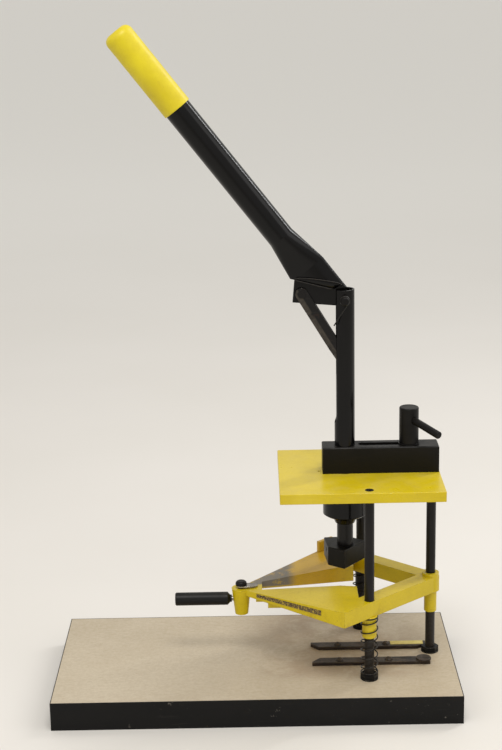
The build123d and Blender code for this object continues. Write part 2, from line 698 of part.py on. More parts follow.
GUIDE_FLANGE_FOOT = GUIDE_FOOT + 12.5
GUIDE_WELL_R = 3.2
GUIDE_WELL_H = 28.0
with BuildPart() as ram_guide:
    with BuildSketch(Plane.XZ.offset(-AXIS_Y)):
        with BuildLine():
            Polyline(
                (AXIS_X + BUSH_R, PLATE_TOP),
                (AXIS_X + GUIDE_STEM_R, PLATE_TOP),
                (AXIS_X + GUIDE_STEM_R, PLATE_UNDER),
                (AXIS_X + GUIDE_FLANGE_R, PLATE_UNDER),
                (AXIS_X + GUIDE_FLANGE_R, GUIDE_FLANGE_FOOT),
            )
            ThreePointArc(
                (AXIS_X + GUIDE_FLANGE_R, GUIDE_FLANGE_FOOT),
                (AXIS_X + GUIDE_FLANGE_R - 4.0, GUIDE_FLANGE_FOOT - 2.6),
                (AXIS_X + GUIDE_NOSE_R, GUIDE_FLANGE_FOOT - 3.6),
            )
            ThreePointArc(
                (AXIS_X + GUIDE_NOSE_R, GUIDE_FLANGE_FOOT - 3.6),
                (AXIS_X + GUIDE_TIP_R + 2.6, GUIDE_FLANGE_FOOT - 7.0),
                (AXIS_X + GUIDE_TIP_R, GUIDE_FOOT),
            )
            Polyline(
                (AXIS_X + GUIDE_TIP_R, GUIDE_FOOT),
                (AXIS_X + GUIDE_LIP_R, GUIDE_FOOT),
                (AXIS_X + GUIDE_LIP_R, BUSH_FOOT),
                (AXIS_X + BUSH_R, BUSH_FOOT),
                (AXIS_X + BUSH_R, PLATE_TOP),
            )
        make_face()
    revolve(axis=Axis((AXIS_X, AXIS_Y, 0), (0, 0, 1)))
    with Locations(*[(x, y, PLATE_UNDER) for x, y in GUIDE_SCREWS]):
        Hole(GUIDE_SCREW_R)
    with Locations(*[(x, y, GUIDE_FOOT) for x, y in GUIDE_SCREWS]):
        Cylinder(
            GUIDE_WELL_R,
            GUIDE_WELL_H,
            align=(Align.CENTER, Align.CENTER, Align.MIN),
            mode=Mode.SUBTRACT,
        )
ram_guide.part.label = "ram_guide"
export_step(ram_guide.part, "parts/ram_guide.step")

GUIDE_HEAD_Z = GUIDE_FOOT + GUIDE_WELL_H
GUIDE_SCREW_HEAD_R = 2.75
GUIDE_SCREW_HEAD_T = 3.0
GUIDE_SCREW_L = PLATE_UNDER + 8.0 - GUIDE_HEAD_Z
with BuildPart(Plane.XY.offset(GUIDE_HEAD_Z)) as guide_screws:
    with Locations(*GUIDE_SCREWS):
        Cylinder(GUIDE_SCREW_R, GUIDE_SCREW_L, align=(Align.CENTER, Align.CENTER, Align.MIN))
        Cylinder(GUIDE_SCREW_HEAD_R, GUIDE_SCREW_HEAD_T, align=(Align.CENTER, Align.CENTER, Align.MAX))
guide_screws.part.label = "guide_screws"
export_step(guide_screws.part, "parts/guide_screws.step")

SET_SCREW_R = 3.0
SET_SCREW_Z = HEAD_FOOT + 17.0
SET_SCREW_SOCKET_R = 1.5
SET_SCREW_REACH = 21.8
SET_SCREW_HOLE_REACH = 30.0
with BuildPart(Plane.XY.offset(HEAD_FOOT)) as punch_head:
    with BuildSketch(Plane.XY.offset(HEAD_FOOT)):
        with Locations((AXIS_X, AXIS_Y)):
            Polygon(*HEAD_CORNERS, align=None)
    extrude(amount=HEAD_H)
    chamfer(punch_head.faces().sort_by(Axis.Z)[0].edges(), length=1.0)
    chamfer(punch_head.faces().sort_by(Axis.Z)[-1].edges(), length=1.0)
    with Locations((AXIS_X, AXIS_Y, HEAD_H)):
        Hole(RAM_R, depth=HEAD_H - HEAD_BORE_FLOOR)
    with BuildSketch(Plane.YZ.offset(AXIS_X - SET_SCREW_HOLE_REACH)):
        with Locations((AXIS_Y, SET_SCREW_Z)):
            Circle(SET_SCREW_R)
    extrude(amount=SET_SCREW_HOLE_REACH - RAM_R / 2, mode=Mode.SUBTRACT)
punch_head.part.label = "punch_head"
export_step(punch_head.part, "parts/punch_head.step")

with BuildPart() as punch_set_screw:
    with BuildSketch(Plane.YZ.offset(AXIS_X - SET_SCREW_REACH)):
        with Locations((AXIS_Y, SET_SCREW_Z)):
            Circle(SET_SCREW_R)
            RegularPolygon(SET_SCREW_SOCKET_R, 6, mode=Mode.SUBTRACT)
    extrude(amount=SET_SCREW_REACH - RAM_R)
punch_set_screw.part.label = "punch_set_screw"
export_step(punch_set_screw.part, "parts/punch_set_screw.step")


# ---- clamp in the block's slot ------------------------------------------------------------------------
STUD_R = 5.0
CLAMP_WASHER_T = 1.6
CLAMP_FOOT = BLOCK_TOP + CLAMP_WASHER_T
STUD_TOP = CLAMP_FOOT + 30.0
bar_level = radians(CLAMP_BAR_AZIMUTH)
bar_droop = radians(CLAMP_BAR_DROOP)
bar_dir = Vector(cos(bar_level) * cos(bar_droop), sin(bar_level) * cos(bar_droop), -sin(bar_droop))
bar_origin = Vector(CLAMP_X, AXIS_Y, CLAMP_BAR_Z)
bar_plane = Plane(origin=bar_origin + bar_dir * 7.0, z_dir=bar_dir)

with BuildPart(Plane.XY.offset(PLATE_TOP + CHANNEL_FLOOR + 0.5)) as clamp_stud:
    with Locations((CLAMP_X, AXIS_Y)):
        Box(15.0, CHANNEL_W - 1.0, CHANNEL_H - 1.0, align=(Align.CENTER, Align.CENTER, Align.MIN))
        Cylinder(
            STUD_R,
            STUD_TOP - PLATE_TOP - CHANNEL_FLOOR - 0.5,
            align=(Align.CENTER, Align.CENTER, Align.MIN),
        )
clamp_stud.part.label = "clamp_stud"
export_step(clamp_stud.part, "parts/clamp_stud.step")

with BuildPart(Plane.XY.offset(BLOCK_TOP + SIDE_GAP)) as clamp_washer:
    with Locations((CLAMP_X, AXIS_Y)):
        Cylinder(CLAMP_R + 1.0, CLAMP_WASHER_T - 2 * SIDE_GAP, align=(Align.CENTER, Align.CENTER, Align.MIN))
    with Locations((CLAMP_X, AXIS_Y, CLAMP_WASHER_T - 2 * SIDE_GAP)):
        Hole(STUD_R)
clamp_washer.part.label = "clamp_washer"
export_step(clamp_washer.part, "parts/clamp_washer.step")

with BuildPart(Plane.XY.offset(CLAMP_FOOT)) as clamp_nut:
    with Locations((CLAMP_X, AXIS_Y)):
        Cylinder(CLAMP_R, CLAMP_H, align=(Align.CENTER, Align.CENTER, Align.MIN))
    fillet(clamp_nut.edges().group_by(Axis.Z)[-1], radius=1.6)
    with Locations((CLAMP_X, AXIS_Y, 0)):
        Cylinder(
            STUD_R + FIT,
            STUD_TOP - CLAMP_FOOT + 2.0,
            align=(Align.CENTER, Align.CENTER, Align.MIN),
            mode=Mode.SUBTRACT,
        )
    with BuildSketch(bar_plane):
        Circle(CLAMP_BAR_R)
    extrude(amount=CLAMP_R, mode=Mode.SUBTRACT)
clamp_nut.part.label = "clamp_nut"
export_step(clamp_nut.part, "parts/clamp_nut.step")

with BuildPart() as clamp_bar:
    with BuildSketch(bar_plane):
        Circle(CLAMP_BAR_R)
    extrude(amount=CLAMP_BAR_REACH - 7.0)
    chamfer(clamp_bar.edges().sort_by(Axis.Y)[0], length=1.0)
clamp_bar.part.label = "clamp_bar"
export_step(clamp_bar.part, "parts/clamp_bar.step")


# ---- sliding frame ------------------------------------------------------------------------------------
FRAME_TOP = FRAME_FOOT + FRAME_H
APEX_TOP = FRAME_FOOT + FRAME_APEX_H
APEX_BOSS_TOP = APEX_TOP + 0.6
APEX_BOSS_FOOT = BOARD_T + 57.0
APEX_BOSS_FOOT_R = 8.3
RIGHT_BOSS_RISE = 4.0
BAR_RIGHT_X = POST_RIGHT_X + 10.6
SLEEVE_FOOT = BOARD_T + 56.0
SLEEVE_GAP = 0.1
APEX_PIN_R = 4.0
HANDLE_Z = BOARD_T + 77.0
HANDLE_STUD_R = 3.0


BAR_RIGHT_HALF = FRAME_HALF_D - BAR_SLOPE * (BAR_RIGHT_X - FRAME_CORNER_X)
APEX_SIDE_X = FRAME_APEX_X + 5.0
APEX_HALF_D = 9.5

with BuildPart(Plane.XY.offset(FRAME_FOOT)) as sliding_frame:
    with BuildSketch(Plane.XY.offset(FRAME_FOOT)):
        with BuildLine():
            Polyline(
                (APEX_SIDE_X, AXIS_Y - APEX_HALF_D),
                (FRAME_CORNER_X, AXIS_Y - FRAME_HALF_D),
                (BAR_RIGHT_X, AXIS_Y - BAR_RIGHT_HALF),
                (BAR_RIGHT_X, AXIS_Y + BAR_RIGHT_HALF),
                (FRAME_CORNER_X, AXIS_Y + FRAME_HALF_D),
                (APEX_SIDE_X, AXIS_Y + APEX_HALF_D),
                close=True,
            )
        make_face()
    extrude(amount=FRAME_H)
    with BuildSketch(Plane.XZ.offset(-AXIS_Y)):
        with BuildLine():
            Polyline(
                (FRAME_CORNER_X, FRAME_TOP),
                (FRAME_APEX_X - 10.0, APEX_TOP - 10.0 * FRAME_SLOPE),
                (FRAME_APEX_X - 10.0, FRAME_TOP + 5.0),
                (FRAME_CORNER_X, FRAME_TOP + 5.0),
                close=True,
            )
        make_face()
    extrude(amount=FRAME_HALF_D + 5.0, both=True, mode=Mode.SUBTRACT)
    with BuildSketch(Plane.XY.offset(FRAME_FOOT)):
        with Locations((POST_RIGHT_X, AXIS_Y)):
            Circle(BOSS_R)
    extrude(amount=FRAME_H + RIGHT_BOSS_RISE)
    with BuildSketch(Plane.XY.offset(APEX_BOSS_TOP)):
        with Locations((FRAME_APEX_X, AXIS_Y)):
            Circle(APEX_BOSS_R)
    with BuildSketch(Plane.XY.offset(APEX_BOSS_FOOT)):
        with Locations((FRAME_APEX_X, AXIS_Y)):
            Circle(APEX_BOSS_FOOT_R)
    loft()
    with BuildSketch(Plane.XY.offset(FRAME_FOOT)):
        with BuildLine():
            Polyline(
                (BAR_INNER_X, AXIS_Y),
                (OPENING_LEFT_X, AXIS_Y + (BAR_INNER_X - OPENING_LEFT_X) * BAR_SLOPE),
                (OPENING_LEFT_X, AXIS_Y + GAP_WIDE),
                (GAP_LEFT_X, AXIS_Y + GAP_NARROW),
                (GAP_LEFT_X, AXIS_Y - GAP_NARROW),
                (OPENING_LEFT_X, AXIS_Y - GAP_WIDE),
                (OPENING_LEFT_X, AXIS_Y - (BAR_INNER_X - OPENING_LEFT_X) * BAR_SLOPE),
                close=True,
            )
        make_face()
    extrude(amount=FRAME_H, mode=Mode.SUBTRACT)
    for post_x, post_y in POSTS.values():
        with Locations((post_x, post_y, FRAME_H + RIGHT_BOSS_RISE)):
            Hole(POST_R + SLEEVE_GAP)
    with Locations((FRAME_APEX_X, AXIS_Y, APEX_BOSS_TOP - FRAME_FOOT)):
        Hole(APEX_PIN_R)
    with BuildSketch(Plane.YZ.offset(FRAME_APEX_X - APEX_BOSS_R - 1.0)):
        with Locations((AXIS_Y, HANDLE_Z)):
            Circle(HANDLE_STUD_R)
    extrude(amount=APEX_BOSS_R - APEX_PIN_R, mode=Mode.SUBTRACT)
sliding_frame.part.label = "sliding_frame"
export_step(sliding_frame.part, "parts/sliding_frame.step")

SLEEVES = {
    "front": 8.8,
    "right": 7.9,
    "rear": 7.4,
}
for sleeve_name, sleeve_r in SLEEVES.items():
    sleeve_x, sleeve_y = POSTS[sleeve_name]
    with BuildPart(Plane.XY.offset(SLEEVE_FOOT)) as sleeve:
        with Locations((sleeve_x, sleeve_y)):
            Cylinder(sleeve_r, FRAME_FOOT - SLEEVE_FOOT, align=(Align.CENTER, Align.CENTER, Align.MIN))
        with Locations((sleeve_x, sleeve_y, FRAME_FOOT - SLEEVE_FOOT)):
            Hole(POST_R + FIT)
        chamfer(sleeve.edges().group_by(Axis.Z)[0], length=0.5)
    sleeve.part.label = f"frame_sleeve_{sleeve_name}"
    export_step(sleeve.part, f"parts/frame_sleeve_{sleeve_name}.step")

LUG_X = 92.0
LUG_L = 26.0
LUG_T = 5.0
LUG_H = 12.0
LUG_INSET = 0.5
ARM_SLOPE = (FRAME_HALF_D - APEX_HALF_D) / (FRAME_CORNER_X - APEX_SIDE_X)
ARM_TURN = degrees(atan2(ARM_SLOPE, 1.0))
lug_edge = Vector(LUG_X, AXIS_Y + APEX_HALF_D + (LUG_X - APEX_SIDE_X) * ARM_SLOPE)
lug_centre = lug_edge + Vector(sin(radians(ARM_TURN)), -cos(radians(ARM_TURN))) * (LUG_T / 2 + LUG_INSET)
with BuildPart() as rear_lug:
    with BuildSketch(Plane.XY.offset(FRAME_FOOT + FRAME_APEX_H)):
        with Locations((lug_centre.X, lug_centre.Y)):
            Rectangle(LUG_L, LUG_T, rotation=ARM_TURN)
    extrude(amount=FRAME_H - FRAME_APEX_H + LUG_H)
    with BuildSketch(Plane.XZ.offset(-AXIS_Y)):
        with BuildLine():
            Polyline(
                (FRAME_CORNER_X + 10.0, FRAME_TOP + 10.0 * FRAME_SLOPE),
                (FRAME_APEX_X, APEX_TOP),
                (FRAME_APEX_X, APEX_TOP - 10.0),
                (FRAME_CORNER_X + 10.0, APEX_TOP - 10.0),
                close=True,
            )
        make_face()
    extrude(amount=-FRAME_HALF_D - 20.0, mode=Mode.SUBTRACT)
rear_lug.part.label = "rear_lug"
export_step(rear_lug.part, "parts/rear_lug.step")

STRIP_FROM_X = 2.0
STRIP_TO_X = 80.0
STRIP_H_LEFT = 4.6
STRIP_H_RIGHT = 6.6
STRIP_DROP_LEFT = 0.8
STRIP_DROP_RIGHT = 3.4
STRIP_T = 0.5
strip_plane = Plane(
    origin=(APEX_SIDE_X, AXIS_Y - APEX_HALF_D, APEX_TOP + 5.0 * FRAME_SLOPE),
    x_dir=(cos(radians(ARM_TURN)), -sin(radians(ARM_TURN)), 0),
    z_dir=(-sin(radians(ARM_TURN)), -cos(radians(ARM_TURN)), 0),
)
edge_rise = FRAME_SLOPE * cos(radians(ARM_TURN))
strip_left = (STRIP_FROM_X - APEX_SIDE_X) / cos(radians(ARM_TURN))
strip_right = (STRIP_TO_X - APEX_SIDE_X) / cos(radians(ARM_TURN))
strip_top_left = strip_left * edge_rise - STRIP_DROP_LEFT
strip_top_right = strip_right * edge_rise - STRIP_DROP_RIGHT
with BuildPart() as label_strip:
    with BuildSketch(strip_plane):
        with BuildLine():
            Polyline(
                (strip_left, strip_top_left),
                (strip_right, strip_top_right),
                (strip_right, strip_top_right - STRIP_H_RIGHT),
                (strip_left, strip_top_left - STRIP_H_LEFT),
                close=True,
            )
        make_face()
    extrude(amount=STRIP_T)
label_strip.part.label = "label_strip"
export_step(label_strip.part, "parts/label_strip.step")


# Two lugs under the front arm: left, right, front and back edges, and how far each hangs down.
ARM_TABS = {
    "arm_tab_left": (1.0, 13.0, -14.5, -9.5, 4.0),
    "arm_tab_right": (16.0, 40.0, -27.5, -22.0, 7.0),
}
for tab_name, (tab_left, tab_right, tab_front, tab_back, tab_drop) in ARM_TABS.items():
    with BuildPart(Plane.XY.offset(FRAME_FOOT)) as arm_tab:
        with Locations(((tab_left + tab_right) / 2, (tab_front + tab_back) / 2)):
            Box(
                tab_right - tab_left,
                tab_back - tab_front,
                tab_drop,
                align=(Align.CENTER, Align.CENTER, Align.MAX),
            )
    arm_tab.part.label = tab_name
    export_step(arm_tab.part, f"parts/{tab_name}.step")


# ---- apex of the frame: pin, swivelling strap, handle -------------------------------------------------
STRAP_T = 2.0
STRAP_W = 12.0
STRAP_L = 27.0
STRAP_RISE = 1.8
APEX_HEAD_R = 7.2

with BuildPart(Plane.XY.offset(APEX_BOSS_TOP + STRAP_RISE)) as apex_strap:
    with BuildSketch(Plane.XY.offset(APEX_BOSS_TOP + STRAP_RISE)):
        with Locations((FRAME_APEX_X + STRAP_L / 2 - STRAP_W / 2, AXIS_Y)):
            SlotOverall(STRAP_L, STRAP_W)
        with Locations((FRAME_APEX_X, AXIS_Y)):
            Circle(APEX_PIN_R + FIT, mode=Mode.SUBTRACT)
    extrude(amount=STRAP_T)
apex_strap.part.label = "apex_strap"
export_step(apex_strap.part, "parts/apex_strap.step")

APEX_HEAD_Z = APEX_BOSS_TOP + STRAP_RISE + STRAP_T + SIDE_GAP
with BuildPart(Plane.XY.offset(APEX_BOSS_FOOT + 4.0)) as apex_pin:
    with Locations((FRAME_APEX_X, AXIS_Y)):
        Cylinder(
            APEX_PIN_R,
            APEX_HEAD_Z - APEX_BOSS_FOOT - 4.0,
            align=(Align.CENTER, Align.CENTER, Align.MIN),
        )
    with Locations((FRAME_APEX_X, AXIS_Y, APEX_HEAD_Z - APEX_BOSS_FOOT - 4.0)):
        Cylinder(APEX_HEAD_R, 5.5, align=(Align.CENTER, Align.CENTER, Align.MIN))
    fillet(apex_pin.edges().group_by(Axis.Z)[-1], radius=3.6)
apex_pin.part.label = "apex_pin"
export_step(apex_pin.part, "parts/apex_pin.step")

HANDLE_R = 8.3
HANDLE_LEFT = -101.5
HANDLE_RIGHT = -35.0
HANDLE_NECK_R = 4.6
HANDLE_NECK_X = FRAME_APEX_X - APEX_BOSS_R

with BuildPart() as frame_handle:
    with BuildSketch(Plane.XZ.offset(-AXIS_Y)):
        with BuildLine():
            Polyline(
                (HANDLE_LEFT, HANDLE_Z),
                (HANDLE_LEFT, HANDLE_Z + HANDLE_R - 1.2),
                (HANDLE_LEFT + 1.2, HANDLE_Z + HANDLE_R),
                (HANDLE_RIGHT, HANDLE_Z + HANDLE_R),
                (HANDLE_RIGHT + 3.4, HANDLE_Z + HANDLE_NECK_R),
                (HANDLE_NECK_X, HANDLE_Z + HANDLE_NECK_R),
                (HANDLE_NECK_X, HANDLE_Z),
                close=True,
            )
        make_face()
    revolve(axis=Axis((0, AXIS_Y, HANDLE_Z), (1, 0, 0)))
    with BuildSketch(Plane.YZ.offset(HANDLE_LEFT + 20.0)):
        with Locations((AXIS_Y, HANDLE_Z)):
            Circle(HANDLE_STUD_R)
    extrude(amount=HANDLE_NECK_X - HANDLE_LEFT, mode=Mode.SUBTRACT)
frame_handle.part.label = "frame_handle"
export_step(frame_handle.part, "parts/frame_handle.step")

with BuildPart() as handle_stud:
    with BuildSketch(Plane.YZ.offset(HANDLE_LEFT + 20.0)):
        with Locations((AXIS_Y, HANDLE_Z)):
            Circle(HANDLE_STUD_R)
    extrude(amount=FRAME_APEX_X - APEX_PIN_R - 1.2 - HANDLE_LEFT - 20.0)
handle_stud.part.label = "handle_stud"
export_step(handle_stud.part, "parts/handle_stud.step")


# ---- return springs under the frame -------------------------------------------------------------------
for spring_name in ("front", "rear"):
    spring_x, spring_y = POSTS[spring_name]
    spring_foot = FOOT_TOP + 1.0
    spring_top = FRAME_FOOT - 1.0
    spring_plane = Plane(origin=(spring_x, spring_y, spring_foot))
    with BuildPart() as frame_spring:
        with BuildLine(spring_plane) as spring_path:
            Helix((spring_top - spring_foot) / SPRING_TURNS, spring_top - spring_foot, SPRING_R)
        with BuildSketch(Plane(origin=spring_path.line @ 0, z_dir=spring_path.line % 0)):
            Circle(SPRING_WIRE_R)
        sweep(path=spring_path.line)
    frame_spring.part.label = f"spring_{spring_name}"
    export_step(frame_spring.part, f"parts/spring_{spring_name}.step")
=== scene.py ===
import json
import math
import random

import bmesh
import bpy
from mathutils import Matrix, Vector


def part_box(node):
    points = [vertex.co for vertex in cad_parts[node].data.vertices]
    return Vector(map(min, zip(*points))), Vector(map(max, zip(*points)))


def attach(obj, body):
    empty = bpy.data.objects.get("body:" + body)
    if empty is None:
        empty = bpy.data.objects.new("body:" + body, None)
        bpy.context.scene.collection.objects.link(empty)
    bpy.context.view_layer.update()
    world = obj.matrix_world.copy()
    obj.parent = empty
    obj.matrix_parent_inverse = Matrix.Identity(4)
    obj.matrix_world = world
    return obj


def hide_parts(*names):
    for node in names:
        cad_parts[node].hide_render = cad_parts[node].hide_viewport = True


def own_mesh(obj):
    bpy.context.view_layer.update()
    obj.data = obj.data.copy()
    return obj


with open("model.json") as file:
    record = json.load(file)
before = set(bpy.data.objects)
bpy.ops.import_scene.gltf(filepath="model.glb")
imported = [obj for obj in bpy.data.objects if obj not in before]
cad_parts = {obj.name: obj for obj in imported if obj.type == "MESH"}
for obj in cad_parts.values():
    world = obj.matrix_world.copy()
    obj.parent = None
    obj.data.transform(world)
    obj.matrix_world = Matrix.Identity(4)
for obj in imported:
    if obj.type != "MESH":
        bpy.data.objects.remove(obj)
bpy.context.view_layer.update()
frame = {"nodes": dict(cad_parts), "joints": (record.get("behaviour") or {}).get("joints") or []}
NODES = frame["nodes"]
JOINTS = {joint["name"]: joint for joint in frame["joints"]}
RANDOM = random.Random(7)
UP = Vector((0, 0, 1))
pivot = Vector(JOINTS["lever_pivot"]["pos_m"])
link_top = Vector(JOINTS["link_pivot"]["pos_m"])
# Square to the link at rest, towards its upper right side.
LINK_NORMAL = Vector((0.8566, 0, 0.5160))


def linear(red, green, blue):
    """A colour given as 0 to 255 sRGB values, as Blender's linear RGBA."""
    shades = []
    for value in (red, green, blue):
        value /= 255
        shades.append(value / 12.92 if value <= 0.04045 else ((value + 0.055) / 1.055) ** 2.4)
    return (*shades, 1.0)


# ---- node graph helpers -------------------------------------------------------------------------------
class Graph:
    """A material's node tree, with short calls for the nodes that the finishes below share."""

    def __init__(self, name):
        self.material = bpy.data.materials.new(name)
        self.material.use_nodes = True
        self.tree = self.material.node_tree
        self.shader = self.tree.nodes["Principled BSDF"]
        self.coords = self.node("ShaderNodeTexCoord").outputs["Object"]
        self.geometry = self.node("ShaderNodeNewGeometry")

    def node(self, kind, inputs=None, **settings):
        made = self.tree.nodes.new(kind)
        for key, value in settings.items():
            setattr(made, key, value)
        for key, value in (inputs or {}).items():
            self.feed(made.inputs[key], value)
        return made

    def feed(self, socket, value):
        if isinstance(value, bpy.types.NodeSocket):
            self.tree.links.new(value, socket)
        else:
            socket.default_value = value

    def math(self, operation, a, b=0.0, clamp=False):
        made = self.node("ShaderNodeMath", {0: a, 1: b}, operation=operation, use_clamp=clamp)
        return made.outputs[0]

    def ramp(self, value, low, high, to_low=0.0, to_high=1.0):
        """The value moved from low..high to to_low..to_high with smooth ends."""
        made = self.node(
            "ShaderNodeMapRange",
            {"Value": value, "From Min": low, "From Max": high, "To Min": to_low, "To Max": to_high},
            interpolation_type="SMOOTHSTEP",
        )
        return made.outputs["Result"]

    def noise(self, scale, detail=4.0, rough=0.55, coords=None, warp=0.0):
        made = self.node(
            "ShaderNodeTexNoise",
            {
                "Vector": coords or self.coords,
                "Scale": scale,
                "Detail": detail,
                "Roughness": rough,
                "Distortion": warp,
            },
        )
        return made.outputs["Fac"]

    def stretched(self, turn, stretch):
        """The object's coordinates turned about three axes and stretched, for grain and scratches."""
        made = self.node(
            "ShaderNodeMapping",
            {"Vector": self.coords, "Rotation": turn, "Scale": stretch},
        )
        return made.outputs["Vector"]

    def mix(self, factor, a, b):
        made = self.node("ShaderNodeMix", data_type="RGBA")
        self.feed(made.inputs["Factor"], factor)
        self.feed(made.inputs["A"], a)
        self.feed(made.inputs["B"], b)
        return made.outputs["Result"]

    def blend(self, factor, a, b):
        made = self.node("ShaderNodeMix", data_type="FLOAT")
        self.feed(made.inputs["Factor"], factor)
        self.feed(made.inputs["A"], a)
        self.feed(made.inputs["B"], b)
        return made.outputs["Result"]

    def edges(self, radius):
        """1 along sharp edges, 0 on open faces, and the rounded normal that found them."""
        bevel = self.node("ShaderNodeBevel", {"Radius": radius}, samples=6)
        dot = self.node("ShaderNodeVectorMath", operation="DOT_PRODUCT")
        self.feed(dot.inputs[0], bevel.outputs["Normal"])
        self.feed(dot.inputs[1], self.geometry.outputs["Normal"])
        gap = self.math("SUBTRACT", 1.0, dot.outputs["Value"])
        return self.ramp(gap, 0.015, 0.16), bevel.outputs["Normal"]

    def place(self):
        parts = self.node("ShaderNodeSeparateXYZ", {"Vector": self.coords})
        return parts.outputs["X"], parts.outputs["Y"], parts.outputs["Z"]

    def bump(self, height, strength, distance, normal=None):
        made = self.node("ShaderNodeBump", {"Height": height, "Strength": strength, "Distance": distance})
        if normal is not None:
            self.feed(made.inputs["Normal"], normal)
        return made.outputs["Normal"]

    def scratches(self, amount):
        """Fine scratches in three directions, 1 on a scratch."""
        total = None
        for turn, stretch in (
            ((0.3, 0.2, 0.5), (40, 1500, 1500)),
            ((1.1, 0.7, 2.1), (55, 1300, 1300)),
            ((0.2, 1.9, 0.9), (30, 1700, 1700)),
        ):
            lines = self.noise(1.0, 2.0, 0.5, self.stretched(turn, stretch))
            lines = self.ramp(lines, 0.70 - amount * 0.1, 0.76 - amount * 0.1)
            total = lines if total is None else self.math("MAXIMUM", total, lines)
        return total

    def dust(self, amount):
        """Dust on faces that look up, broken by noise."""
        parts = self.node("ShaderNodeSeparateXYZ", {"Vector": self.geometry.outputs["Normal"]})
        facing = self.ramp(parts.outputs["Z"], 0.35, 0.95)
        cloud = self.ramp(self.noise(38.0, 6.0, 0.65), 0.35, 0.75)
        fine = self.ramp(self.noise(620.0, 3.0, 0.6), 0.40, 0.70, 0.55, 1.0)
        cover = self.math("MULTIPLY", facing, cloud)
        grain = self.math("MULTIPLY", fine, amount)
        return self.math("MULTIPLY", cover, grain)

    def set(self, **values):
        for key, value in values.items():
            self.feed(self.shader.inputs[key.replace("_", " ")], value)
        return self.material


DUST = linear(172, 160, 140)


def hard_finish(
    name,
    light,
    dark,
    rough,
    metal=0.0,
    patch=22.0,
    wear=0.0,
    worn=None,
    worn_rough=0.35,
    worn_metal=0.9,
    peel=0.0,
    peel_scale=420.0,
    scratch=0.0,
    scratch_colour=None,
    dust=0.0,
    coat=0.0,
    edge=0.0009,
    specular=0.5,
    more=None,
):
    """Paint, oxide or plating over metal: mottling, worn edges, scratches, dust and a fine skin."""
    g = Graph(name)
    mottling = g.ramp(g.noise(patch, 6.0, 0.62), 0.32, 0.68)
    fine = g.ramp(g.noise(300.0, 4.0, 0.6), 0.3, 0.7)
    tone = g.math("ADD", g.math("MULTIPLY", mottling, 0.7), g.math("MULTIPLY", fine, 0.3))
    colour = g.mix(tone, light, dark)
    roughness = g.ramp(tone, 0.0, 1.0, rough * 0.86, rough * 1.18)
    metallic = metal
    if more is not None:
        colour, roughness = more(g, colour, roughness)
    if scratch:
        marks = g.math("MULTIPLY", g.scratches(scratch), scratch)
        colour = g.mix(marks, colour, scratch_colour or worn or DUST)
        roughness = g.blend(marks, roughness, 0.5)
    edge_mask, soft_normal = g.edges(edge)
    if wear:
        broken = g.ramp(g.noise(95.0, 7.0, 0.7), 0.62 - 0.22 * wear, 0.74 - 0.18 * wear)
        mask = g.math("MULTIPLY", edge_mask, broken, clamp=True)
        colour = g.mix(mask, colour, worn)
        roughness = g.blend(mask, roughness, worn_rough)
        metallic = g.blend(mask, metal, worn_metal)
    if dust:
        film = g.dust(dust)
        colour = g.mix(film, colour, DUST)
        roughness = g.blend(film, roughness, 0.85)
    normal = soft_normal
    if peel:
        normal = g.bump(g.noise(peel_scale, 2.0, 0.5), peel, 0.0004, normal)
    normal = g.bump(g.noise(2600.0, 2.0, 0.5), 0.05, 0.0001, normal)
    g.set(Coat_Weight=coat, Specular_IOR_Level=specular)
    return g.set(Base_Color=colour, Roughness=roughness, Metallic=metallic, Normal=normal)


# ---- the press's finishes -----------------------------------------------------------------------------
def frame_wear_and_shade(g, colour, roughness):
    """The frame's paint: painted shade in darker ochre on the rear arm under the plate and punch, rubbed
    through near the apex, specked and grimy.
    """
    x, y, z = g.place()
    along = g.math("MULTIPLY", g.ramp(x, -0.012, 0.002), g.ramp(x, 0.056, 0.040))
    behind = g.ramp(y, 0.006, 0.014)
    high = g.ramp(z, 0.120, 0.1235)
    place = g.math("MULTIPLY", g.math("MULTIPLY", along, behind), high)
    broken = g.ramp(g.noise(60.0, 8.0, 0.75, warp=0.6), 0.36, 0.48)
    rubbed = g.math("MULTIPLY", place, broken)
    specks = g.ramp(g.noise(430.0, 5.0, 0.7), 0.66, 0.72)
    specks = g.math("MULTIPLY", specks, g.ramp(g.noise(24.0, 3.0, 0.6), 0.45, 0.62))
    grime = g.math("MULTIPLY", g.ramp(g.noise(34.0, 6.0, 0.7), 0.56, 0.74), 0.35)
    # Painted shade: the rear arm, shaded by the plate and the punch, is tinted a darker ochre.
    painted_shade = g.math("MULTIPLY", g.ramp(y, 0.012, 0.030), g.ramp(x, 0.150, 0.090))
    colour = g.mix(g.math("MULTIPLY", painted_shade, 0.55), colour, linear(196, 138, 22))
    colour = g.mix(grime, colour, linear(150, 118, 20))
    colour = g.mix(rubbed, colour, linear(112, 106, 96))
    colour = g.mix(g.math("MULTIPLY", specks, 0.8), colour, linear(60, 46, 20))
    roughness = g.blend(rubbed, roughness, 0.45)
    return colour, roughness


def plate_marks(g, colour, roughness):
    """Faint smears and pin-sized dark specks on the yellow plate."""
    specks = g.ramp(g.noise(520.0, 4.0, 0.7), 0.70, 0.75)
    specks = g.math("MULTIPLY", specks, g.ramp(g.noise(18.0, 3.0, 0.6), 0.50, 0.66))
    smear = g.ramp(g.noise(9.0, 5.0, 0.65, g.stretched((0, 0, 0.35), (1.0, 3.2, 1.0))), 0.45, 0.75)
    colour = g.mix(g.math("MULTIPLY", smear, 0.22), colour, linear(226, 204, 96))
    colour = g.mix(g.math("MULTIPLY", specks, 0.75), colour, linear(66, 50, 16))
    roughness = g.blend(smear, roughness, 0.42)
    return colour, roughness


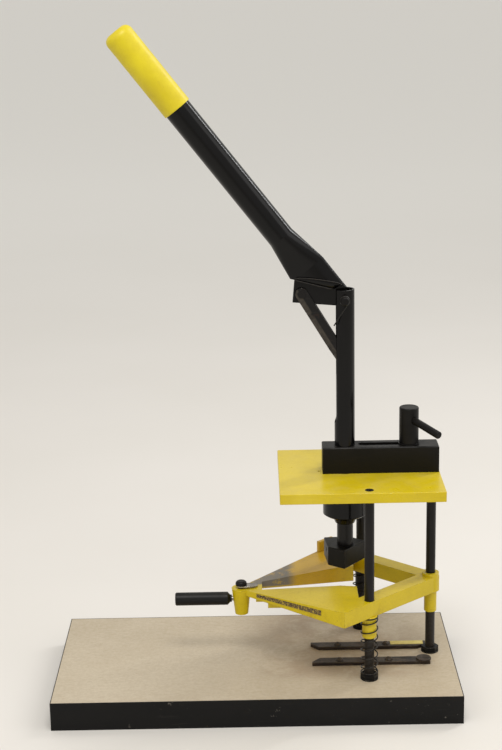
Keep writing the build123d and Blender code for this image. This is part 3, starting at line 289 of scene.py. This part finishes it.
def thread_highlight_bands(g, colour, roughness):
    """The threads at the posts' lower ends, as fine painted highlights on the crests between dark bands, with
    no relief.
    """
    x, y, z = g.place()
    wave = g.math("SINE", g.math("MULTIPLY", z, 2 * math.pi / 0.00175))
    # Painted highlight: each thread crest is painted lighter and glossier in place of relief catching the
    # light.
    crest_highlight = g.math("MULTIPLY", g.ramp(wave, -0.2, 0.9), g.ramp(z, 0.098, 0.092))
    colour = g.mix(g.math("MULTIPLY", crest_highlight, 0.7), colour, linear(66, 58, 50))
    return colour, g.blend(crest_highlight, roughness, 0.28)


def link_highlight_and_rust(g, colour, roughness):
    """The link's left-hand side carries a painted highlight, lighter and glossier along its whole length,
    with a little rust.
    """
    x, y, z = g.place()
    across = g.math(
        "ADD",
        g.math("MULTIPLY", g.math("SUBTRACT", x, link_top.x), LINK_NORMAL.x),
        g.math("MULTIPLY", g.math("SUBTRACT", z, link_top.z), LINK_NORMAL.z),
    )
    # Painted highlight: a lighter band along the link's left-hand side, where the strap faces the light.
    painted_highlight = g.math("MULTIPLY", g.ramp(across, -0.0005, -0.0020), g.ramp(g.noise(70.0, 6.0, 0.7), 0.30, 0.60))
    rust = g.ramp(g.noise(130.0, 5.0, 0.7), 0.58, 0.70)
    colour = g.mix(g.math("MULTIPLY", painted_highlight, 0.8), colour, linear(70, 64, 56))
    colour = g.mix(g.math("MULTIPLY", rust, 0.2), colour, linear(66, 44, 34))
    return colour, g.blend(painted_highlight, roughness, 0.34)


YELLOW = linear(206, 182, 8)
YELLOW_DEEP = linear(194, 170, 6)

plate_paint = hard_finish(
    "plate_paint", YELLOW, YELLOW_DEEP, 0.30, patch=16.0, wear=0.35, worn=linear(90, 76, 40), worn_metal=0.2,
    peel=0.10, scratch=0.30, scratch_colour=linear(160, 136, 50), dust=0.20, coat=0.12, specular=0.35,
    more=plate_marks,
)
frame_paint = hard_finish(
    "frame_paint", YELLOW, YELLOW_DEEP, 0.33, patch=20.0, wear=0.6, worn=linear(84, 70, 44),
    worn_metal=0.3, peel=0.12, scratch=0.45, scratch_colour=linear(130, 108, 40), dust=0.10,
    coat=0.12, specular=0.35, more=frame_wear_and_shade,
)
black_gloss = hard_finish(
    "black_gloss", linear(9, 8, 8), linear(5, 5, 5), 0.17, patch=18.0, wear=0.2, worn=linear(70, 64, 58),
    peel=0.08, peel_scale=260.0, scratch=0.16, scratch_colour=linear(44, 41, 37), dust=0.02, coat=0.03,
    specular=0.2,
)
black_oxide = hard_finish(
    "black_oxide", linear(16, 14, 13), linear(8, 8, 8), 0.40, metal=0.0, patch=30.0, wear=0.4,
    worn=linear(92, 86, 78), scratch=0.20, scratch_colour=linear(52, 46, 40), dust=0.03, specular=0.18,
)
dark_rod = hard_finish(
    "dark_rod", linear(20, 17, 15), linear(9, 8, 8), 0.32, metal=0.0, patch=40.0, wear=0.25,
    worn=linear(100, 92, 82), scratch=0.15, scratch_colour=linear(60, 52, 44), dust=0.02, specular=0.24,
)
post_rod = hard_finish(
    "post_rod", linear(20, 17, 15), linear(9, 8, 8), 0.32, metal=0.0, patch=40.0, wear=0.25,
    worn=linear(100, 92, 82), scratch=0.15, scratch_colour=linear(60, 52, 44), dust=0.02, specular=0.24,
    more=thread_highlight_bands,
)
link_steel = hard_finish(
    "link_steel", linear(18, 16, 15), linear(9, 8, 8), 0.40, metal=0.0, patch=30.0, wear=0.5,
    worn=linear(104, 98, 90), scratch=0.3, scratch_colour=linear(60, 54, 48), dust=0.03, specular=0.25,
    more=link_highlight_and_rust,
)
rail_paint = hard_finish(
    "rail_paint", linear(46, 35, 28), linear(26, 21, 18), 0.46, metal=0.1, patch=45.0, wear=0.9,
    worn=linear(116, 96, 72), scratch=0.7, scratch_colour=linear(104, 86, 66), dust=0.16, specular=0.3,
)
bright_steel = hard_finish(
    "bright_steel", linear(176, 172, 164), linear(120, 114, 104), 0.28, metal=0.95, patch=120.0, wear=0.0,
    scratch=0.6, scratch_colour=linear(210, 206, 198), dust=0.06,
)
spring_wire = hard_finish(
    "spring_wire", linear(34, 30, 27), linear(16, 15, 14), 0.34, metal=0.35, patch=90.0, wear=0.0,
    scratch=0.4, scratch_colour=linear(104, 96, 86), dust=0.04, specular=0.4,
)
bronze = hard_finish(
    "bronze", linear(150, 112, 62), linear(104, 74, 40), 0.38, metal=0.9, patch=60.0, wear=0.4,
    worn=linear(196, 160, 100), scratch=0.5, scratch_colour=linear(190, 156, 100),
)
handle_plastic = hard_finish(
    "handle_plastic", linear(14, 13, 13), linear(8, 8, 8), 0.40, patch=30.0, wear=0.4,
    worn=linear(62, 58, 54), worn_metal=0.0, worn_rough=0.6, peel=0.18, peel_scale=900.0, scratch=0.4,
    scratch_colour=linear(44, 42, 39), dust=0.06, specular=0.24,
)


def laminate_finish():
    """Beige laminate: a soft print of pale and darker flecks, scuffs, and grime with painted shade from the
    frame where work has lain.
    """
    g = Graph("laminate")
    cloud = g.ramp(g.noise(7.0, 6.0, 0.6), 0.3, 0.7)
    fleck = g.ramp(g.noise(260.0, 6.0, 0.75, warp=0.3), 0.34, 0.66)
    weave = g.ramp(g.noise(1.0, 3.0, 0.6, g.stretched((0, 0, 0), (90, 900, 90))), 0.35, 0.65)
    colour = g.mix(cloud, linear(186, 173, 151), linear(174, 160, 137))
    colour = g.mix(g.math("MULTIPLY", fleck, 0.38), colour, linear(158, 142, 116))
    colour = g.mix(g.math("MULTIPLY", weave, 0.16), colour, linear(214, 203, 181))
    specks = g.ramp(g.noise(700.0, 3.0, 0.7), 0.68, 0.74)
    colour = g.mix(g.math("MULTIPLY", specks, 0.45), colour, linear(112, 96, 74))
    scuffs = g.math("MULTIPLY", g.scratches(0.5), g.ramp(g.noise(11.0, 4.0, 0.6), 0.45, 0.65))
    colour = g.mix(g.math("MULTIPLY", scuffs, 0.35), colour, linear(126, 112, 92))
    x, y, z = g.place()
    # Grime and painted shade: a brown darkening of the board around the rails' left ends, partly standing in
    # for the frame's soft shadow.
    grime_and_shade_area = g.math("MULTIPLY", g.ramp(x, -0.03, 0.06), g.ramp(x, 0.245, 0.16))
    grime_and_shade_area = g.math("MULTIPLY", grime_and_shade_area, g.ramp(y, -0.085, -0.045))
    grime = g.math("MULTIPLY", grime_and_shade_area, g.ramp(g.noise(16.0, 6.0, 0.7, warp=0.4), 0.34, 0.62))
    # The brown mix here is part grime and part painted shade.
    colour = g.mix(g.math("MULTIPLY", grime, 0.42), colour, linear(124, 98, 74))
    roughness = g.ramp(fleck, 0.0, 1.0, 0.40, 0.52)
    roughness = g.blend(grime, roughness, 0.62)
    normal = g.bump(g.noise(900.0, 3.0, 0.6), 0.12, 0.0002)
    return g.set(Base_Color=colour, Roughness=roughness, Normal=normal)


def edge_band_finish():
    """The board's black edging, chipped to its pale core here and there along both edges."""
    g = Graph("edge_band")
    x, y, z = g.place()
    tone = g.ramp(g.noise(30.0, 6.0, 0.65), 0.3, 0.7)
    colour = g.mix(tone, linear(12, 11, 11), linear(7, 7, 7))
    near_top = g.ramp(z, 0.0325, 0.0352)
    near_foot = g.ramp(z, 0.0045, 0.0010)
    rims = g.math("MAXIMUM", near_top, near_foot)
    chips = g.ramp(g.noise(120.0, 6.0, 0.75, warp=0.8), 0.665, 0.69)
    chips = g.math("MULTIPLY", chips, rims)
    streaks = g.noise(1.0, 5.0, 0.65, g.stretched((0, 0, 0), (16, 16, 220)))
    rubs = g.math("MULTIPLY", g.ramp(streaks, 0.60, 0.72), 0.5)
    colour = g.mix(g.math("MULTIPLY", rubs, 0.5), colour, linear(66, 62, 58))
    dots = g.ramp(g.noise(170.0, 5.0, 0.7), 0.64, 0.69)
    knocks = g.math("MULTIPLY", dots, g.ramp(g.noise(14.0, 3.0, 0.6), 0.46, 0.56))
    colour = g.mix(g.math("MULTIPLY", knocks, 0.6), colour, linear(120, 114, 106))
    colour = g.mix(chips, colour, linear(150, 122, 84))
    edge_mask, soft_normal = g.edges(0.0008)
    pale = g.math("MULTIPLY", edge_mask, g.ramp(g.noise(70.0, 6.0, 0.7), 0.45, 0.62))
    colour = g.mix(g.math("MULTIPLY", pale, 0.5), colour, linear(96, 90, 82))
    roughness = g.blend(chips, g.ramp(tone, 0.0, 1.0, 0.30, 0.42), 0.8)
    normal = g.bump(g.noise(420.0, 3.0, 0.5), 0.08, 0.0003, soft_normal)
    g.set(Specular_IOR_Level=0.2)
    return g.set(Base_Color=colour, Roughness=roughness, Normal=normal)


def core_finish():
    """The board's laminated sheets, seen from below: raw brown chipboard."""
    g = Graph("board_core")
    chips = g.ramp(g.noise(180.0, 6.0, 0.7, warp=0.5), 0.3, 0.7)
    flakes = g.node("ShaderNodeTexVoronoi", {"Vector": g.coords, "Scale": 240.0}).outputs["Color"]
    grey = g.node("ShaderNodeSeparateColor", {"Color": flakes}).outputs["Red"]
    colour = g.mix(chips, linear(170, 138, 96), linear(128, 98, 62))
    colour = g.mix(g.math("MULTIPLY", grey, 0.3), colour, linear(98, 72, 46))
    normal = g.bump(grey, 0.25, 0.0005)
    return g.set(Base_Color=colour, Roughness=0.85, Normal=normal)


def vinyl_finish():
    """The dipped vinyl grip: soft gloss, slightly translucent, with finger grime and shallow dents."""
    g = Graph("yellow_vinyl")
    cloud = g.ramp(g.noise(26.0, 5.0, 0.6), 0.3, 0.7)
    colour = g.mix(cloud, linear(214, 196, 12), linear(200, 180, 8))
    grime = g.math("MULTIPLY", g.ramp(g.noise(48.0, 7.0, 0.72), 0.55, 0.76), 0.4)
    colour = g.mix(grime, colour, linear(160, 132, 24))
    specks = g.ramp(g.noise(640.0, 4.0, 0.7), 0.70, 0.76)
    colour = g.mix(g.math("MULTIPLY", specks, 0.5), colour, linear(96, 80, 26))
    roughness = g.ramp(g.noise(90.0, 4.0, 0.6), 0.3, 0.7, 0.36, 0.50)
    dents = g.bump(g.noise(55.0, 3.0, 0.5), 0.25, 0.0012)
    skin = g.bump(g.noise(1500.0, 2.0, 0.5), 0.08, 0.0002, dents)
    g.shader.inputs["Subsurface Weight"].default_value = 0.12
    g.shader.inputs["Subsurface Radius"].default_value = (0.9, 0.7, 0.1)
    g.shader.inputs["Subsurface Scale"].default_value = 0.002
    return g.set(Base_Color=colour, Roughness=roughness, Normal=skin)


def tape_finish(name, light, dark, mark, mark_low, rough):
    """A paper or cloth tape, smudged and flecked with dirt."""
    g = Graph(name)
    cloud = g.ramp(g.noise(120.0, 6.0, 0.7), 0.3, 0.7)
    colour = g.mix(cloud, light, dark)
    flecks = g.ramp(g.noise(520.0, 6.0, 0.8, warp=0.5), mark_low, mark_low + 0.05)
    colour = g.mix(flecks, colour, mark)
    normal = g.bump(g.noise(1200.0, 3.0, 0.6), 0.3, 0.0002)
    return g.set(Base_Color=colour, Roughness=rough, Normal=normal)


def weld_highlight_finish():
    """Painted-over weld metal, black lightened to a painted highlight along the lever's foot and rim, with a
    burnt brown tinge in its ripples.
    """
    g = Graph("weld_bead")
    cloud = g.ramp(g.noise(260.0, 6.0, 0.7), 0.3, 0.7)
    # Painted highlight: the bead is coloured lighter than the black paint around it, standing for the light
    # line along the tube's rim.
    colour = g.mix(cloud, linear(38, 34, 31), linear(22, 20, 19))
    colour = g.mix(g.ramp(g.noise(480.0, 5.0, 0.7), 0.58, 0.68), colour, linear(84, 66, 50))
    normal = g.bump(g.noise(1400.0, 3.0, 0.6), 0.35, 0.0003)
    return g.set(Base_Color=colour, Roughness=0.48, Metallic=0.4, Normal=normal)


laminate = laminate_finish()
edge_band = edge_band_finish()
board_core = core_finish()
yellow_vinyl = vinyl_finish()
yellow_tape = tape_finish(
    "yellow_tape", linear(214, 198, 120), linear(196, 176, 92), linear(96, 78, 44), 0.66, 0.62
)
dark_tape = tape_finish("dark_tape", linear(92, 74, 44), linear(44, 34, 24), linear(206, 176, 60), 0.53, 0.55)
weld_metal_highlight = weld_highlight_finish()

LOOKS = {
    "base_board": board_core,
    "base_laminate": laminate,
    "base_edge_band": edge_band,
    "guide_rail_front": rail_paint,
    "guide_rail_rear": rail_paint,
    "rail_screws": rail_paint,
    "rail_end_button": rail_paint,
    "gauge_strip": yellow_tape,
    "post_front": post_rod,
    "post_rear": post_rod,
    "post_right": post_rod,
    "post_washers": black_oxide,
    "post_nuts": black_oxide,
    "plate_screws": black_oxide,
    "top_plate": plate_paint,
    "slotted_block": black_oxide,
    "block_screws": black_oxide,
    "column_tube": black_gloss,
    "pivot_bolt": black_oxide,
    "pivot_nut": bright_steel,
    "return_spring": spring_wire,
    "lever_tube": black_gloss,
    "lever_grip": yellow_vinyl,
    "lever_bracket": black_gloss,
    "link_strap_front": link_steel,
    "link_strap_rear": link_steel,
    "link_top_pin": dark_rod,
    "link_foot_pin": bright_steel,
    "ram_rod": dark_rod,
    "ram_bush": bronze,
    "ram_guide": black_gloss,
    "guide_screws": black_oxide,
    "punch_head": black_oxide,
    "punch_set_screw": black_oxide,
    "clamp_stud": bright_steel,
    "clamp_washer": black_oxide,
    "clamp_nut": black_oxide,
    "clamp_bar": black_oxide,
    "sliding_frame": frame_paint,
    "frame_sleeve_front": frame_paint,
    "frame_sleeve_right": frame_paint,
    "frame_sleeve_rear": dark_rod,
    "rear_lug": frame_paint,
    "label_strip": dark_tape,
    "apex_strap": bright_steel,
    "apex_pin": black_oxide,
    "frame_handle": handle_plastic,
    "handle_stud": bright_steel,
    "spring_front": spring_wire,
    "spring_rear": spring_wire,
    "arm_tab_left": frame_paint,
    "arm_tab_right": frame_paint,
}
for node_name, node_object in NODES.items():
    for material_slot in node_object.material_slots:
        material_slot.material = LOOKS[node_name]


# ---- mesh helpers -------------------------------------------------------------------------------------
def piece(name, mesh_data, material, body, smooth=True):
    """A bmesh made into a piece that rides on a body."""
    mesh = bpy.data.meshes.new(name)
    bmesh.ops.recalc_face_normals(mesh_data, faces=mesh_data.faces)
    for face in mesh_data.faces:
        face.smooth = smooth
    mesh_data.to_mesh(mesh)
    mesh_data.free()
    mesh.materials.append(material)
    made = bpy.data.objects.new(name, mesh)
    bpy.context.scene.collection.objects.link(made)
    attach(made, body)
    return made


def joined_rings(mesh_data, rings, closed_ends=True):
    """Faces between rings of equal length, and caps on the two ends."""
    made = [[mesh_data.verts.new(point) for point in ring] for ring in rings]
    count = len(made[0])
    for first, second in zip(made, made[1:]):
        for i in range(count):
            j = (i + 1) % count
            mesh_data.faces.new((first[i], first[j], second[j], second[i]))
    if closed_ends:
        mesh_data.faces.new(list(reversed(made[0])))
        mesh_data.faces.new(made[-1])
    return made


SECTION_SIDES = 10


def round_section(point, side, other, radius):
    """A circle of points in the plane of two directions: the section of a weld bead or a wire."""
    section = []
    for k in range(SECTION_SIDES):
        angle = 2 * math.pi * k / SECTION_SIDES
        section.append(point + (side * math.cos(angle) + other * math.sin(angle)) * radius)
    return section


def weld_bead(name, path, radius, body, material):
    """A rippled bead laid along a line of points."""
    bead = bmesh.new()
    points = []
    for start, end in zip(path, path[1:]):
        steps = max(2, int((end - start).length / (radius * 0.22)))
        points += [start.lerp(end, i / steps) for i in range(steps)]
    points.append(path[-1])
    rings = []
    for i, point in enumerate(points):
        run = (points[min(i + 1, len(points) - 1)] - points[max(i - 1, 0)]).normalized()
        side = run.orthogonal().normalized()
        other = run.cross(side)
        taper = min(1.0, 0.45 + 0.2 * min(i, len(points) - 1 - i))
        ripple = 0.86 + 0.16 * abs(math.sin(i * 0.55)) + RANDOM.uniform(-0.03, 0.03)
        size = radius * taper * ripple
        rings.append(round_section(point, side, other, size))
    joined_rings(bead, rings)
    return piece(name, bead, material, body)


def coil(name, centre, radius, wire, foot, top, turns, flat_turns, body, material):
    """A compression spring: its end turns lie nearly flat, its middle turns are open."""
    spring = bmesh.new()
    steps_per_turn = 40
    whole = turns + 2 * flat_turns
    steps = int(whole * steps_per_turn)
    height = top - foot
    flat_rise = wire * 2.05
    rings = []
    for i in range(steps + 1):
        turn = i / steps_per_turn
        low = min(turn, flat_turns) * flat_rise
        middle = max(0.0, min(turn - flat_turns, turns)) * (height - 2 * flat_turns * flat_rise) / turns
        high = max(0.0, turn - flat_turns - turns) * flat_rise
        angle = 2 * math.pi * turn
        run = Vector((-math.sin(angle), math.cos(angle), 0.08)).normalized()
        out = Vector((math.cos(angle), math.sin(angle), 0))
        point = Vector((centre[0], centre[1], foot + low + middle + high)) + out * radius
        up = out.cross(run).normalized()
        rings.append(round_section(point, out, up, wire))
    joined_rings(spring, rings)
    return piece(name, spring, material, body)


# ---- frame springs, attached to the stand -------------------------------------------------------------
SPRING_WIRE_R = 0.0008
SPRING_TURNS = 6.2
SPRING_FLAT_TURNS = 1.0
for side in ("front", "rear"):
    node = f"spring_{side}"
    low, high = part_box(node)
    centre = (low + high) / 2
    spring = coil(
        f"frame_spring_{side}", centre, (high.x - low.x) / 2 - SPRING_WIRE_R, SPRING_WIRE_R,
        low.z + SPRING_WIRE_R, high.z - SPRING_WIRE_R, SPRING_TURNS, SPRING_FLAT_TURNS, "stand", spring_wire,
    )
    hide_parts(node)
    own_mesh(spring)


# ---- the fillet and the welds at the lever's foot, the rear lug and the sleeves ------------------------
foot_left = pivot + Vector((-0.0600, 0, 0.0246))
foot_right = pivot + Vector((-0.0128, 0, 0.0118))
rim_right = pivot + Vector((-0.0030, 0, 0.0165))
FOOT_WELD_R = 0.0009
RIM_WELD_R = 0.0007
LUG_WELD_R = 0.0011
SLEEVE_WELD_R = 0.0010
SLEEVE_WELD_STEPS = 32
FILLET_STEPS = 16
FILLET_BACK = 0.0010  # how far the fillet's back stands in front of the lever's middle plane
FOOT_DEPTH = 0.0030  # the same for its lower edge at the ends, and how much more at the middle
FOOT_SWELL = 0.0034
RIM_DEPTH = 0.0036  # the same for its upper edge
RIM_SWELL = 0.0056
RIM_RISE = 0.0040
RIM_LIFT = 0.0008
FACE_HOLLOW = 0.0012
fillet = bmesh.new()
fillet_rings = []
foot_line = []
rim_line = []
for i in range(FILLET_STEPS + 1):
    share = i / FILLET_STEPS
    bulge = math.sqrt(max(0.0, 1 - (2 * share - 1) ** 2))
    foot = foot_left.lerp(foot_right, share)
    rim = foot_left.lerp(rim_right, share) + UP * RIM_RISE * bulge
    foot_front = Vector((foot.x, pivot.y - FOOT_DEPTH - FOOT_SWELL * bulge, foot.z))
    rim_front = Vector((rim.x, pivot.y - RIM_DEPTH - RIM_SWELL * bulge, rim.z + RIM_LIFT))
    fillet_rings.append([
        rim_front,
        (rim_front + foot_front) / 2 + Vector((0, FACE_HOLLOW * bulge, 0)),
        foot_front,
        Vector((foot.x, pivot.y - FILLET_BACK, foot.z)),
        Vector((rim.x, pivot.y - FILLET_BACK, rim.z + RIM_LIFT)),
    ])
    foot_line.append(foot_front)
    rim_line.append(rim_front)
joined_rings(fillet, fillet_rings)
piece("lever_foot_fillet", fillet, black_gloss, "lever")
weld_bead("lever_foot_weld", foot_line, FOOT_WELD_R, "lever", weld_metal_highlight)
weld_bead("lever_rim_weld", rim_line, RIM_WELD_R, "lever", weld_metal_highlight)

LUG_INSET = 0.0020
LUG_INSET_DEEP = 0.0030
lug_low, lug_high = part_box("rear_lug")
lug_foot_z = lug_low.z + 0.0030
weld_bead(
    "rear_lug_weld",
    [
        Vector((lug_low.x + LUG_INSET, lug_low.y + LUG_INSET_DEEP, lug_foot_z)),
        Vector((lug_high.x - LUG_INSET, lug_high.y - LUG_INSET_DEEP, lug_foot_z + 0.0016)),
    ],
    LUG_WELD_R,
    "frame",
    frame_paint,
)
for sleeve_name in ("frame_sleeve_front", "frame_sleeve_right"):
    sleeve_low, sleeve_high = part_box(sleeve_name)
    sleeve_mid = (sleeve_low + sleeve_high) / 2
    sleeve_r = (sleeve_high.x - sleeve_low.x) / 2
    around = []
    for i in range(SLEEVE_WELD_STEPS + 1):
        angle = 2 * math.pi * i / SLEEVE_WELD_STEPS
        out = Vector((math.cos(angle), math.sin(angle), 0)) * (sleeve_r + 0.0002)
        around.append(Vector((sleeve_mid.x, sleeve_mid.y, sleeve_high.z - 0.0006)) + out)
    weld_bead(f"{sleeve_name}_weld", around, SLEEVE_WELD_R, "frame", frame_paint)


# ---- the camera, the floor and the light --------------------------------------------------------------
YAW = math.radians(0.2215)
PITCH = math.radians(15.2395)
ROLL = math.radians(-1.126)
EYE = Vector((0.00749, -1.88233, 0.92095))
LENS = 76.8

right = Vector((math.cos(YAW), math.sin(YAW), 0))
level = Vector((-math.sin(YAW), math.cos(YAW), 0))
ahead = level * math.cos(PITCH) - UP * math.sin(PITCH)
down = -UP * math.cos(PITCH) - level * math.sin(PITCH)
rolled_right = right * math.cos(ROLL) - down * math.sin(ROLL)
rolled_down = right * math.sin(ROLL) + down * math.cos(ROLL)
camera_data = bpy.data.cameras.new("camera")
camera_data.lens = LENS
camera = bpy.data.objects.new("camera", camera_data)
bpy.context.scene.collection.objects.link(camera)
axes = Matrix((rolled_right, -rolled_down, -ahead)).transposed()
camera.matrix_world = Matrix.Translation(EYE) @ axes.to_4x4()
bpy.context.scene.camera = camera

FLOOR_HALF = 30.0
floor_mesh = bmesh.new()
bmesh.ops.create_grid(floor_mesh, x_segments=1, y_segments=1, size=FLOOR_HALF)
floor_data = bpy.data.meshes.new("floor")
floor_mesh.to_mesh(floor_data)
floor_mesh.free()
floor = bpy.data.objects.new("floor", floor_data)
bpy.context.scene.collection.objects.link(floor)
g = Graph("floor_card")
floor_tone = g.ramp(g.noise(1.3, 3.0, 0.5), 0.3, 0.7)
floor_colour = g.mix(floor_tone, linear(220, 216, 211), linear(216, 212, 206))
floor_x, floor_y, floor_z = g.place()
# Painted light: the floor is painted paler with distance behind the press, a painted brightening of the far
# floor.
floor_colour = g.mix(g.ramp(floor_y, 0.4, 4.5), floor_colour, linear(243, 241, 237))
floor_data.materials.append(g.set(Base_Color=floor_colour, Roughness=0.75))


def area_light(name, place, target, size, power, colour):
    data = bpy.data.lights.new(name, "AREA")
    data.shape = "RECTANGLE"
    data.size, data.size_y = size
    data.energy = power
    data.color = colour
    lamp = bpy.data.objects.new(name, data)
    bpy.context.scene.collection.objects.link(lamp)
    lamp.location = place
    lamp.rotation_euler = (Vector(target) - Vector(place)).to_track_quat("-Z", "Y").to_euler()
    return lamp


area_light("overhead", (0.1, -1.3, 2.7), (0.05, 0, 0.1), (1.3, 0.9), 36.0, (1.0, 0.985, 0.96))
area_light("front_left", (-1.9, -1.7, 1.9), (0.05, 0, 0.3), (1.6, 1.6), 9.0, (1.0, 0.99, 0.97))
area_light("rim_strip", (1.3, 0.8, 1.7), (0.0, 0, 0.6), (0.12, 1.3), 12.0, (1.0, 1.0, 1.0))
area_light("right_fill", (2.2, -0.6, 1.5), (0.05, 0, 0.3), (1.2, 1.4), 7.0, (1.0, 0.99, 0.98))

world = bpy.data.worlds.new("studio")
world.use_nodes = True
world.node_tree.nodes["Background"].inputs["Color"].default_value = linear(240, 238, 233)
world.node_tree.nodes["Background"].inputs["Strength"].default_value = 0.80
bpy.context.scene.world = world
bpy.context.scene.view_settings.view_transform = "Standard"

bpy.context.view_layer.update()
